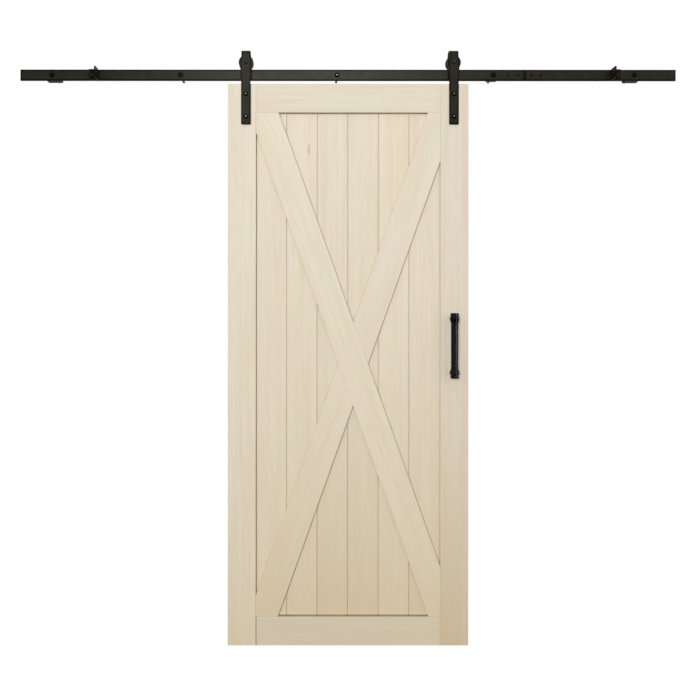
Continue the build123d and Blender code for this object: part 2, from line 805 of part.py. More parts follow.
for index in range(plank_count):
    is_first = index == 0
    is_last = index == plank_count - 1
    left_x = opening_left_x + index * plank_pitch
    right_x = left_x + plank_pitch - plank_joint_gap
    if is_first:
        left_x -= tongue_reach
    if is_last:
        right_x += plank_joint_gap + tongue_reach
    with BuildPart() as plank:
        with BuildSketch(Plane.XY.offset(plank_bottom_z)) as section:
            with Locations(((left_x + right_x) / 2, -panel_middle_out)):
                Rectangle(right_x - left_x, panel_thickness)
            joint_corners = section.vertices().sort_by(Axis.X)
            if is_first:
                joint_corners = joint_corners[2:]
            if is_last:
                joint_corners = joint_corners[:2]
            chamfer(joint_corners, plank_v_chamfer)
            if not is_first:
                with Locations((left_x + tongue_length / 2, -panel_middle_out)):
                    Rectangle(tongue_length, tongue_thickness, mode=Mode.SUBTRACT)
            if not is_last:
                with Locations((right_x + tongue_length / 2 - seat_gap, -panel_middle_out)):
                    Rectangle(tongue_length, tongue_thickness - 2 * seat_gap)
        extrude(amount=plank_length)
        for edge_z, inward in ((opening_top_z, -1), (opening_bottom_z, 1)):
            with BuildSketch(Plane.YZ.offset(left_x)):
                with BuildLine():
                    Polyline(
                        (-panel_front_out, edge_z),
                        (-panel_front_out + end_groove_depth, edge_z + inward * end_groove_width / 2),
                        (-panel_front_out, edge_z + inward * end_groove_width),
                        close=True,
                    )
                make_face()
            extrude(amount=right_x - left_x, mode=Mode.SUBTRACT)
        with Locations(-Plane.XZ.offset(panel_back_out)):
            with Locations(*[(x, -z) for x, z in screws_on_plank(plank_middle_x[index])]):
                CounterSinkHole(
                    (brace_screw_diameter + hole_gap) / 2, brace_screw_head_diameter / 2 + seat_gap
                )
    plank.part.label = f"plank_{index + 1}"
    export_step(plank.part, f"parts/plank_{index + 1}.step")

# Braces: one runs through, the other is butted against it in two halves


def brace_board(angle, width):
    """A board's outline across the opening, leaning by an angle from upright."""
    with Locations(Location((brace_x, brace_z), angle)):
        Rectangle(width, 2 * opening_height)


def within_opening():
    """Cuts the boards to the inside of the frame."""
    with Locations((track_centre_x, (opening_top_z + opening_bottom_z) / 2)):
        Rectangle(opening_width - 2 * seat_gap, opening_height - 2 * seat_gap, mode=Mode.INTERSECT)


with BuildPart() as long_brace:
    with BuildSketch(Plane.XZ.offset(panel_front_out)):
        brace_board(brace_angle, brace_width)
        within_opening()
    extrude(amount=panel_recess)
    with BuildSketch(Plane.XZ.offset(panel_front_out)):
        with Locations(*brace_screw_places):
            Circle(brace_screw_diameter / 2)
    extrude(amount=brace_screw_grip, mode=Mode.SUBTRACT)
long_brace.part.label = "long_brace"
export_step(long_brace.part, "parts/long_brace.step")

with BuildPart() as half_braces:
    with BuildSketch(Plane.XZ.offset(panel_front_out)):
        brace_board(-brace_angle, brace_width)
        within_opening()
        with Locations(Location((brace_x, brace_z), brace_angle)):
            Rectangle(brace_width + 2 * seat_gap, 2 * opening_height, mode=Mode.SUBTRACT)
    extrude(amount=panel_recess)
    with BuildSketch(Plane.XZ.offset(panel_front_out)):
        with Locations(*brace_screw_places):
            Circle(brace_screw_diameter / 2)
    extrude(amount=brace_screw_grip, mode=Mode.SUBTRACT)

lower_solid, upper_solid = half_braces.solids().sort_by(Axis.Z)
with BuildPart() as upper_brace:
    add(upper_solid)
upper_brace.part.label = "upper_brace"
export_step(upper_brace.part, "parts/upper_brace.step")

with BuildPart() as lower_brace:
    add(lower_solid)
lower_brace.part.label = "lower_brace"
export_step(lower_brace.part, "parts/lower_brace.step")

with BuildPart() as brace_screws:
    with BuildSketch(Plane.XZ.offset(panel_back_out)):
        with Locations(*brace_screw_places):
            Circle(brace_screw_diameter / 2 - fit_gap)
    extrude(amount=panel_thickness + brace_screw_grip - hole_gap)
    add(
        cone_row(
            brace_screw_places,
            panel_back_out,
            brace_screw_head_diameter,
            brace_screw_diameter,
            (brace_screw_head_diameter - brace_screw_diameter) / 2,
        )
    )
    with BuildSketch(Plane.XZ.offset(panel_back_out)):
        with Locations(*brace_screw_places):
            Rectangle(brace_screw_drive, brace_screw_drive)
    extrude(amount=brace_screw_drive_depth, mode=Mode.SUBTRACT)
brace_screws.part.label = "brace_screws"
export_step(brace_screws.part, "parts/brace_screws.step")

# Handle: a round grip with capped ends and tapered collars on two posts, bolted through from the back

grip_radius = grip_diameter / 2
post_end_out = grip_axis_out - grip_radius + post_seat_depth
grip_end = handle_length / 2
collar_start = grip_end - grip_cap_height
grip_half_outline = [
    (grip_cap_diameter / 2 - grip_cap_chamfer, grip_end),
    (grip_cap_diameter / 2, grip_end - grip_cap_chamfer),
    (grip_cap_diameter / 2, collar_start),
    (grip_collar_diameter / 2, collar_start - (grip_collar_diameter - grip_cap_diameter) / 2),
    (grip_collar_diameter / 2, collar_start - grip_collar_land - grip_cap_chamfer),
    (grip_collar_toe_diameter / 2, collar_start - grip_collar_length),
    (grip_radius, collar_start - grip_collar_length - grip_cap_chamfer),
]

with BuildPart() as handle_grip:
    with BuildSketch(Plane.YZ.offset(handle_x)):
        with BuildLine():
            Polyline(
                (-grip_axis_out, handle_z + grip_end),
                *[(-grip_axis_out + radius, handle_z + along) for radius, along in grip_half_outline],
                *[
                    (-grip_axis_out + radius, handle_z - along)
                    for radius, along in grip_half_outline[::-1]
                ],
                (-grip_axis_out, handle_z - grip_end),
                close=True,
            )
        make_face()
    revolve(axis=Axis((handle_x, -grip_axis_out, handle_z), (0, 0, 1)))
    with BuildSketch(Plane.XZ.offset(grip_axis_out - grip_collar_diameter / 2)):
        with Locations(*handle_places):
            Circle(post_diameter / 2 + fit_gap)
    extrude(amount=post_end_out - grip_axis_out + grip_collar_diameter / 2, mode=Mode.SUBTRACT)
    with BuildSketch(Plane.XZ.offset(post_end_out)):
        with Locations(*handle_places):
            Circle(handle_bolt_diameter / 2)
    extrude(amount=handle_bolt_grip + hole_gap, mode=Mode.SUBTRACT)
handle_grip.part.label = "handle_grip"
export_step(handle_grip.part, "parts/handle_grip.step")

for level, z in post_z.items():
    with BuildPart() as handle_post:
        with BuildSketch(Plane.XZ.offset(door_front_out)):
            with Locations((handle_x, z)):
                Circle(post_foot_diameter / 2)
        extrude(amount=post_foot_thickness)
        with BuildSketch(Plane.XZ.offset(door_front_out)):
            with Locations((handle_x, z)):
                Circle(post_diameter / 2)
        extrude(amount=post_end_out - door_front_out)
        with BuildSketch(Plane.XZ.offset(door_front_out)):
            with Locations((handle_x, z)):
                Circle((handle_bolt_diameter + hole_gap) / 2)
        extrude(amount=post_end_out - door_front_out, mode=Mode.SUBTRACT)
    handle_post.part.label = f"{level}_handle_post"
    export_step(handle_post.part, f"parts/{level}_handle_post.step")

with BuildPart() as handle_bolts:
    with BuildSketch(Plane.XZ.offset(door_back_out)):
        with Locations(*handle_places):
            Circle(handle_bolt_diameter / 2 - fit_gap)
    extrude(amount=post_end_out + handle_bolt_grip - door_back_out)
    add(
        cone_row(
            handle_places,
            door_back_out,
            handle_bolt_head_diameter,
            handle_bolt_diameter,
            (handle_bolt_head_diameter - handle_bolt_diameter) / 2,
        )
    )
    with BuildSketch(Plane.XZ.offset(door_back_out)):
        with Locations(*handle_places):
            RegularPolygon(machine_socket_across_flats / 2, 6, major_radius=False)
    extrude(amount=machine_socket_depth, mode=Mode.SUBTRACT)
handle_bolts.part.label = "handle_bolts"
export_step(handle_bolts.part, "parts/handle_bolts.step")
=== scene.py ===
import bpy
import math
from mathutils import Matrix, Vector


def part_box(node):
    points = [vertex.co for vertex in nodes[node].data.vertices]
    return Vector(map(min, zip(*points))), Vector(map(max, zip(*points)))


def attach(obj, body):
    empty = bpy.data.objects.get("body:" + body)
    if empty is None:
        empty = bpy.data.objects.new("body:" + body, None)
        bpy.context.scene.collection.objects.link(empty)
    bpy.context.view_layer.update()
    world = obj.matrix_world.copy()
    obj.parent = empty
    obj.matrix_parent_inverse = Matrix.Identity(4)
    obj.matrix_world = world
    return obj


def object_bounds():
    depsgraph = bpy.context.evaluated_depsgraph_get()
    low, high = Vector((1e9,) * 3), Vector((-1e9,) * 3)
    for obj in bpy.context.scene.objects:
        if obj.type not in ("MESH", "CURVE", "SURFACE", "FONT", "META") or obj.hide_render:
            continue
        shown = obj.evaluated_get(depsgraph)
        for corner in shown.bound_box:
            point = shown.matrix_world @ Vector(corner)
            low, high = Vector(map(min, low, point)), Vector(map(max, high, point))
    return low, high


# Sliding barn door: pine leaf with an X of braces, black flat-bar track, two wheeled hangers, bar handle.
# Metres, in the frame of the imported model: origin on the wall at the middle lag bolt, room towards -Y.

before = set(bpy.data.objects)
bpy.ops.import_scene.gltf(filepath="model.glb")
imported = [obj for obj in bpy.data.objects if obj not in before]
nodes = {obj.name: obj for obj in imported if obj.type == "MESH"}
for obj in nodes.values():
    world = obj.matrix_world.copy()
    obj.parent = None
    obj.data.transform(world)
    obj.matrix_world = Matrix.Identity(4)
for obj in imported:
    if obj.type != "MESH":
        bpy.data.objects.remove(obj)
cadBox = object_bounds()
scene = bpy.context.scene


# Camera: straight at the wall, a little left of the leaf's middle, at about chest height

photoView = {
    "place": (-0.1136, -2.167, -0.9359),
    "lens": 28.89,
    "shift": (0.0589, -0.0397),
    "roll": math.radians(-0.03),
    "sensorWidth": 36.0,
    "clipStart": 0.01,
}

cameraData = bpy.data.cameras.new("camera")
cameraData.lens = photoView["lens"]
cameraData.sensor_width = photoView["sensorWidth"]
cameraData.sensor_fit = "HORIZONTAL"
cameraData.shift_x, cameraData.shift_y = photoView["shift"]
cameraData.clip_start = photoView["clipStart"]
camera = bpy.data.objects.new("camera", cameraData)
camera.location = photoView["place"]
camera.rotation_euler = (math.pi / 2, photoView["roll"], 0)
scene.collection.objects.link(camera)
scene.camera = camera
scene.view_settings.view_transform = "Standard"
print("camera placed")


# Node helpers

def put(tree, kind, inputs=None, **settings):
    # Adds a node. Inputs are given by name or index, as values or as sockets to link from.
    node = tree.nodes.new(kind)
    for key, value in settings.items():
        setattr(node, key, value)
    for key, value in (inputs or {}).items():
        if isinstance(value, bpy.types.NodeSocket):
            tree.links.new(value, node.inputs[key])
        else:
            node.inputs[key].default_value = value
    return node


def calc(tree, operation, *values, clamp=False):
    # One Math node. Returns its result socket.
    return put(
        tree, "ShaderNodeMath", dict(enumerate(values)), operation=operation, use_clamp=clamp
    ).outputs[0]


def mixColour(tree, factor, first, second, blend="MIX"):
    # One colour Mix node. Returns its result socket.
    mixNode = put(tree, "ShaderNodeMix", {0: factor, 6: first, 7: second}, data_type="RGBA")
    mixNode.blend_type = blend
    return mixNode.outputs[2]


def remap(tree, value, fromLow, fromHigh, toLow=0.0, toHigh=1.0, smooth=False):
    # Map Range, clamped. Returns its result socket.
    ranges = {"Value": value, "From Min": fromLow, "From Max": fromHigh, "To Min": toLow, "To Max": toHigh}
    style = "SMOOTHSTEP" if smooth else "LINEAR"
    return put(tree, "ShaderNodeMapRange", ranges, interpolation_type=style).outputs[0]


def noise(tree, vector, scale, detail):
    # Noise texture. Returns its value socket.
    return put(
        tree, "ShaderNodeTexNoise", {"Vector": vector, "Scale": scale, "Detail": detail}
    ).outputs[0]


def stretched(tree, vector, scale):
    # Scales a vector along its axes. Returns the scaled vector.
    return put(
        tree, "ShaderNodeVectorMath", {0: vector, 1: scale}, operation="MULTIPLY"
    ).outputs[0]


def newMaterial(name):
    # A material with a Principled shader. Returns the material, its tree, shader and object coordinates.
    material = bpy.data.materials.new(name)
    material.use_nodes = True
    tree = material.node_tree
    shader = tree.nodes["Principled BSDF"]
    coordinates = put(tree, "ShaderNodeTexCoord").outputs["Object"]
    return material, tree, shader, coordinates


def softNormal(tree, radius, samples=4):
    # The surface's normal with its edges rounded off.
    return put(tree, "ShaderNodeBevel", {"Radius": radius}, samples=samples).outputs[0]


flatLean = 0.999  # cosine of a lean that still counts as a flat face
usualLean = 0.95  # cosine of a lean that counts as a full edge, where a finish gives none of its own


def edgeMask(tree, radius, fullLean):
    # 1 along edges, 0 on flat faces: how far a rounded normal leans from the true one, as a cosine.
    rounded = softNormal(tree, radius, samples=8)
    flat = put(tree, "ShaderNodeNewGeometry").outputs["Normal"]
    alike = put(tree, "ShaderNodeVectorMath", {0: rounded, 1: flat}, operation="DOT_PRODUCT").outputs["Value"]
    return remap(tree, alike, flatLean, fullLean, smooth=True)


def linear(red, green, blue):
    # A colour written as 0 to 255 screen values, as the shader's linear colour.
    channels = []
    for value in (red, green, blue):
        share = value / 255
        channels.append(share / 12.92 if share <= 0.04045 else ((share + 0.055) / 1.055) ** 2.4)
    return (*channels, 1.0)


# Pine: growth rings round a pith line behind the board, fibres, soft streaks and a few pin knots

pine = {
    "early": linear(241, 233, 215),
    "late": linear(230, 214, 184),
    # Painted shade, with warmth, towards the foot of the leaf
    "shadedWarmWood": linear(224, 205, 170),
    "knot": linear(178, 132, 84),
    "heart": linear(226, 204, 186),
    "heartStrength": 0.40,
    # Painted shade on the sides and along the edges of a board
    "rim": linear(190, 172, 140),
    # Painted shade in the groove at the foot of the planks and in the bottom rail's joint with the left stile
    "creaseShade": linear(88, 74, 54),
    "creaseShadeStrength": 0.85,
    "rimRadius": 0.0012,
    "rimStrength": 0.45,
    "fullLean": 0.88,
    "edgeRound": 0.0010,
    "sideShadeStrength": 0.75,
    "blush": linear(238, 216, 198),
    "blushStrength": 0.34,
    "blushOffset": 3.1,
    "sap": linear(228, 220, 186),
    "sapStrength": 0.30,
    "sapOffset": 9.4,
    # Painted shadow beside and under boards that stand out, as if lit from the upper left
    "seam": linear(112, 92, 64),
    "seamReach": 0.008,
    "seamLean": (-0.9, 0.0, 0.35),
    "seamStrength": 0.75,
    "specular": 0.30,
    "seamOpenness": (0.65, 0.25),
    "flatFace": (0.90, 0.98),
    "sideShadeFacing": (0.75, 0.35),
    "ledgeShade": (0.004, 0.002),
    "jointShade": (0.0030, 0.0016),
    "shadeAndWarmthPower": 3.0,
    "cutStep": 7.3,
    "heartScale": (3.0, 3.0, 1.1),
    "heartWander": 0.012,
    "heartFade": (0.4, 1.3),
    "bendScale": (5.0, 5.0, 1.3),
    "bendReach": (0.030, 0.030, 0.0),
    "streakScale": (70.0, 70.0, 1.6),
    "patchScale": (7.0, 7.0, 0.9),
    "fibreScale": (620.0, 620.0, 14.0),
    "bandScale": (24.0, 24.0, 1.4),
    "knotScale": (9.0, 9.0, 2.4),
    "knotReach": (0.02, 0.075),
    "knotPicked": (0.55, 0.62),
    "ringSpacing": 0.0085,
    "ringWander": {"Distortion": 1.4, "Detail": 3.0, "Detail Scale": 0.6, "Detail Roughness": 0.6},
    "ringFade": (0.45, 1.0),
    "streakFade": (0.35, 0.68),
    "patchFade": (0.35, 0.7),
    "fibreFade": (0.42, 0.70),
    "bandFade": (0.48, 0.68),
    "ringStrength": 0.24,
    "streakStrength": 0.35,
    "fibreStrength": 0.22,
    "knotStrength": 0.55,
    "roughness": 0.56,
    "fibreRoughness": 0.10,
    "bumpHeight": 0.00012,
    "lateRise": 0.5,
    "fibreRise": -0.5,
}
wavePeriod = 2 * math.pi / 20  # the Wave texture's own ring spacing at scale 1


def buildPineGroup():
    # Takes board coordinates, with the pith along Z, and gives colour, roughness and height.
    group = bpy.data.node_groups.new("pineGrain", "ShaderNodeTree")
    face = group.interface
    face.new_socket("Board", in_out="INPUT", socket_type="NodeSocketVector")
    face.new_socket("ShadeAndWarmth", in_out="INPUT", socket_type="NodeSocketFloat")
    face.new_socket("Colour", in_out="OUTPUT", socket_type="NodeSocketColor")
    face.new_socket("Roughness", in_out="OUTPUT", socket_type="NodeSocketFloat")
    face.new_socket("Height", in_out="OUTPUT", socket_type="NodeSocketFloat")
    given = group.nodes.new("NodeGroupInput")
    board = given.outputs["Board"]

    # Slow bends of the grain along the board
    bendNoise = put(
        group, "ShaderNodeTexNoise",
        {"Vector": stretched(group, board, pine["bendScale"]), "Scale": 1.0, "Detail": 2.0},
    ).outputs["Color"]
    bendShift = put(
        group, "ShaderNodeVectorMath", {0: bendNoise, 1: (0.5, 0.5, 0.5)}, operation="SUBTRACT"
    ).outputs[0]
    bendShift = stretched(group, bendShift, pine["bendReach"])
    bent = put(group, "ShaderNodeVectorMath", {0: board, 1: bendShift}, operation="ADD").outputs[0]

    rings = put(
        group, "ShaderNodeTexWave",
        {"Vector": bent, "Scale": wavePeriod / pine["ringSpacing"], **pine["ringWander"]},
        wave_type="RINGS", rings_direction="Z", wave_profile="SIN",
    ).outputs["Fac"]
    lateWood = remap(group, rings, *pine["ringFade"], smooth=True)

    streaks = noise(group, stretched(group, bent, pine["streakScale"]), 1.0, detail=4.0)
    streaks = remap(group, streaks, *pine["streakFade"])
    patches = noise(group, stretched(group, board, pine["patchScale"]), 1.0, detail=2.0)
    patches = remap(group, patches, *pine["patchFade"], smooth=True)
    fibres = noise(group, stretched(group, bent, pine["fibreScale"]), 1.0, detail=2.0)
    fibres = remap(group, fibres, *pine["fibreFade"])

    # Pin knots, longer along the grain
    knotField = put(
        group, "ShaderNodeTexVoronoi",
        {"Vector": stretched(group, board, pine["knotScale"]), "Scale": 1.0, "Randomness": 1.0},
        feature="F1",
    )
    knots = remap(group, knotField.outputs["Distance"], *pine["knotReach"], 1.0, 0.0, smooth=True)
    knotPicked = remap(group, knotField.outputs["Color"], *pine["knotPicked"])
    knots = calc(group, "MULTIPLY", knots, knotPicked)

    ringShare = calc(group, "MULTIPLY", lateWood, calc(group, "MULTIPLY", pine["ringStrength"], patches))
    streakShare = calc(group, "MULTIPLY", streaks, pine["streakStrength"])
    lateShare = calc(group, "ADD", ringShare, streakShare, clamp=True)
    colour = mixColour(group, lateShare, pine["early"], pine["late"])
    # Wide soft bands of pinkish heartwood and yellowish sapwood
    for tint in ("blush", "sap"):
        offset = (pine[tint + "Offset"],) * 3
        moved = put(group, "ShaderNodeVectorMath", {0: bent, 1: offset}, operation="ADD")
        bands = noise(group, stretched(group, moved.outputs[0], pine["bandScale"]), 1.0, detail=2.0)
        share = remap(group, bands, *pine["bandFade"], 0.0, pine[tint + "Strength"], smooth=True)
        colour = mixColour(group, share, colour, pine[tint])
    # Painted shade, with warmth, by the share given for the foot of the leaf
    colour = mixColour(group, given.outputs["ShadeAndWarmth"], colour, pine["shadedWarmWood"])
    fibreShare = calc(group, "MULTIPLY", fibres, pine["fibreStrength"])
    colour = mixColour(group, fibreShare, colour, pine["late"], "MULTIPLY")
    knotShare = calc(group, "MULTIPLY", knots, pine["knotStrength"])
    colour = mixColour(group, knotShare, colour, pine["knot"])

    roughness = calc(group, "MULTIPLY_ADD", fibres, pine["fibreRoughness"], pine["roughness"])
    fibreHeight = calc(group, "MULTIPLY", fibres, pine["fibreRise"])
    height = calc(group, "MULTIPLY_ADD", lateWood, pine["lateRise"], fibreHeight)

    result = group.nodes.new("NodeGroupOutput")
    group.links.new(colour, result.inputs["Colour"])
    group.links.new(roughness, result.inputs["Roughness"])
    group.links.new(height, result.inputs["Height"])
    return group


pineGroup = buildPineGroup()

# Each board: lean and tilt of its grain, where its pith lies beside and behind it, its painted shade and
# warmth at the top and at the foot of the leaf, and its tone, lower on most boards to the right as painted
# shade for light falling off to the right
braceLean = 19.6  # the slope of the solids' braces
boards = {
    "left_stile": {"lean": 0, "pith": (0.030, 0.055), "tilt": 0.7, "shadeAndWarmth": (0.00, 0.60), "tone": 1.00},
    "right_stile": {
        "lean": 0, "pith": (-0.050, 0.040), "tilt": -0.6, "shadeAndWarmth": (0.02, 1.00), "tone": 0.93,
        "heart": (0.485, 0.011),
    },
    "top_rail": {"lean": 90, "pith": (0.035, 0.060), "tilt": 0.8, "shadeAndWarmth": (0.02, 0.30), "tone": 0.95},
    "bottom_rail": {"lean": 90, "pith": (-0.040, 0.050), "tilt": -1.0, "shadeAndWarmth": (0.10, 0.45), "tone": 0.93},
    "plank_1": {"lean": 0, "pith": (0.020, 0.045), "tilt": 1.0, "shadeAndWarmth": (0.04, 0.75), "tone": 1.00},
    "plank_2": {"lean": 0, "pith": (-0.060, 0.050), "tilt": 0.5, "shadeAndWarmth": (0.08, 0.85), "tone": 1.00},
    "plank_3": {"lean": 0, "pith": (0.070, 0.035), "tilt": -0.8, "shadeAndWarmth": (0.05, 1.00), "tone": 0.98},
    "plank_4": {"lean": 0, "pith": (-0.015, 0.060), "tilt": 0.9, "shadeAndWarmth": (0.09, 1.00), "tone": 0.98},
    "plank_5": {"lean": 0, "pith": (0.045, 0.040), "tilt": -0.5, "shadeAndWarmth": (0.11, 0.90), "tone": 1.00},
    "plank_6": {"lean": 0, "pith": (-0.035, 0.055), "tilt": 0.6, "shadeAndWarmth": (0.12, 0.90), "tone": 0.98},
    "long_brace": {
        "lean": -braceLean, "pith": (0.030, 0.050), "tilt": 0.8, "shadeAndWarmth": (0.02, 0.85), "tone": 1.00
    },
    "upper_brace": {
        "lean": braceLean, "pith": (-0.030, 0.045), "tilt": 0.9, "shadeAndWarmth": (0.03, 0.90), "tone": 0.97
    },
    "lower_brace": {
        "lean": braceLean, "pith": (0.045, 0.050), "tilt": -0.7, "shadeAndWarmth": (0.05, 0.95), "tone": 1.00
    },
}
leafFoot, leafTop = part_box("left_stile")[0].z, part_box("left_stile")[1].z


def boardGrain(tree, coordinates, name, board, index):
    # Coordinates of one board, with its pith along Z, each cut from another length of the same wood.
    low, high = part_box(name)
    lean = math.radians(board["lean"])
    across = Vector((math.cos(lean), 0, -math.sin(lean)))
    sideways, behind = board["pith"]
    pithPlace = (low + high) / 2 + across * sideways + Vector((0, behind, 0))
    mapped = put(
        tree, "ShaderNodeMapping",
        {
            "Vector": coordinates, "Location": pithPlace,
            "Rotation": (math.radians(board["tilt"]), lean, 0),
        },
        vector_type="TEXTURE",
    ).outputs[0]
    return put(
        tree, "ShaderNodeVectorMath", {0: mapped, 1: (0, 0, pine["cutStep"] * index)}, operation="ADD"
    ).outputs[0]


def addCreaseShade(tree, colour, along, edge, fade):
    # Painted shade that lies at an edge and ends a little past it.
    creaseShade = remap(tree, along, edge + fade[0], edge + fade[1], 0.0, pine["creaseShadeStrength"])
    return mixColour(tree, creaseShade, colour, pine["creaseShade"])


def addHeart(tree, colour, coordinates, along, heart):
    # A pinkish streak of heartwood along one edge of a board.
    place, halfWidth = heart
    wander = noise(tree, stretched(tree, coordinates, pine["heartScale"]), 1.0, detail=2.0)
    along = calc(tree, "MULTIPLY_ADD", wander, pine["heartWander"], along)
    away = calc(tree, "ABSOLUTE", calc(tree, "SUBTRACT", along, place + pine["heartWander"] / 2))
    full, none = (halfWidth * share for share in pine["heartFade"])
    share = remap(tree, away, full, none, pine["heartStrength"], 0.0, smooth=True)
    return mixColour(tree, share, colour, pine["heart"])


def addPaintedShade(tree, colour):
    # Painted shadow on a face where a board stands out on its left or above it, as if lit from the upper
    # left.
    normal = put(tree, "ShaderNodeNewGeometry").outputs["Normal"]
    leaning = put(tree, "ShaderNodeVectorMath", {0: normal, 1: pine["seamLean"]}, operation="ADD").outputs[0]
    leaning = put(tree, "ShaderNodeVectorMath", {0: leaning}, operation="NORMALIZE").outputs[0]
    openness = put(
        tree, "ShaderNodeAmbientOcclusion", {"Distance": pine["seamReach"], "Normal": leaning}, samples=8
    ).outputs["AO"]
    facing = calc(tree, "ABSOLUTE", put(tree, "ShaderNodeSeparateXYZ", {0: normal}).outputs[1])
    seam = remap(tree, openness, *pine["seamOpenness"], 0.0, pine["seamStrength"])
    seam = calc(tree, "MULTIPLY", seam, remap(tree, facing, *pine["flatFace"]))
    colour = mixColour(tree, seam, colour, pine["seam"])
    # Painted shade: the sides of a board are darker than its front and back faces.
    sideShade = remap(tree, facing, *pine["sideShadeFacing"], 0.0, pine["sideShadeStrength"])
    colour = mixColour(tree, sideShade, colour, pine["rim"])
    # Painted shade along the edges of the board.
    rim = calc(tree, "MULTIPLY", edgeMask(tree, pine["rimRadius"], pine["fullLean"]), pine["rimStrength"])
    return mixColour(tree, rim, colour, pine["rim"])


def dressBoard(name, board, index):
    material, tree, shader, coordinates = newMaterial("pine_" + name)
    along, _, height = put(tree, "ShaderNodeSeparateXYZ", {0: coordinates}).outputs

    # Painted shade: the wood turns darker towards the foot of the leaf, where less light falls, and warmer
    # there too
    down = remap(tree, height, leafTop, leafFoot)
    topShadeAndWarmth, footShadeAndWarmth = board["shadeAndWarmth"]
    footShare = calc(tree, "POWER", down, pine["shadeAndWarmthPower"])
    shadeAndWarmth = calc(tree, "MULTIPLY_ADD", footShare, footShadeAndWarmth - topShadeAndWarmth, topShadeAndWarmth)
    grain = tree.nodes.new("ShaderNodeGroup")
    grain.node_tree = pineGroup
    tree.links.new(boardGrain(tree, coordinates, name, board, index), grain.inputs["Board"])
    tree.links.new(shadeAndWarmth, grain.inputs["ShadeAndWarmth"])
    # Board tone, lower on most boards to the right as painted shade for light falling off to the right
    tone = (board["tone"],) * 3 + (1,)
    colour = mixColour(tree, 1.0, grain.outputs["Colour"], tone, "MULTIPLY")
    if name.startswith("plank"):  # painted shade in the groove where a plank stands on the bottom rail
        colour = addCreaseShade(tree, colour, height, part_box("bottom_rail")[1].z, pine["ledgeShade"])
    if name == "bottom_rail":  # and in its joint with the left stile
        colour = addCreaseShade(tree, colour, along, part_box("left_stile")[1].x, pine["jointShade"])
    if "heart" in board:
        colour = addHeart(tree, colour, coordinates, along, board["heart"])
    tree.links.new(addPaintedShade(tree, colour), shader.inputs["Base Color"])
    tree.links.new(grain.outputs["Roughness"], shader.inputs["Roughness"])
    bump = put(
        tree, "ShaderNodeBump",
        {
            "Height": grain.outputs["Height"], "Distance": pine["bumpHeight"], "Strength": 1.0,
            "Normal": softNormal(tree, pine["edgeRound"]),
        },
    )
    tree.links.new(bump.outputs[0], shader.inputs["Normal"])
    shader.inputs["Specular IOR Level"].default_value = pine["specular"]
    node = nodes[name]
    node.data.materials.clear()
    node.data.materials.append(material)


for index, (name, board) in enumerate(boards.items()):
    dressBoard(name, board, index)
print("pine on", len(boards), "boards")


# Coats: a soft cloud of two tones, painted shade along the edges of most coats, a painted highlight along
# the edges of the axle bolts, the nylon and the bright steel, and a fine orange peel

coatCloud = (0.3, 0.7)
coatSpread = 0.05  # how far the roughness goes to either side


def coatMaterial(name, look):
    material, tree, shader, coordinates = newMaterial(name)
    cloud = noise(tree, coordinates, look["cloudScale"], detail=3.0)
    tone = mixColour(tree, remap(tree, cloud, *coatCloud), look["dark"], look["light"])
    # Edge colour painted along the edges: painted shade where it is darker than the coat, a painted highlight
    # where it is lighter
    edge = edgeMask(tree, look["rimRadius"], look.get("fullLean", usualLean))
    rim = calc(tree, "MULTIPLY", edge, look["rimStrength"])
    tone = mixColour(tree, rim, tone, look["rim"])
    tree.links.new(tone, shader.inputs["Base Color"])
    if look.get("reflectionlessEdgeShade"):  # painted shade: along the edges the coat turns to black metal, which takes the reflection off there too
        tree.links.new(rim, shader.inputs["Metallic"])
    smoothest, roughest = look["roughness"] - coatSpread, look["roughness"] + coatSpread
    roughness = remap(tree, cloud, *coatCloud, smoothest, roughest)
    tree.links.new(roughness, shader.inputs["Roughness"])
    peel = noise(tree, coordinates, look["peelScale"], detail=2.0)
    bump = put(
        tree, "ShaderNodeBump",
        {
            "Height": peel, "Distance": look["peelHeight"], "Strength": 1.0,
            "Normal": softNormal(tree, look["edgeRound"]),
        },
    )
    tree.links.new(bump.outputs[0], shader.inputs["Normal"])
    shader.inputs["Metallic"].default_value = look.get("metallic", 0.0)
    shader.inputs["Specular IOR Level"].default_value = look["specular"]
    shader.inputs["Specular Tint"].default_value = look["tint"]
    return material


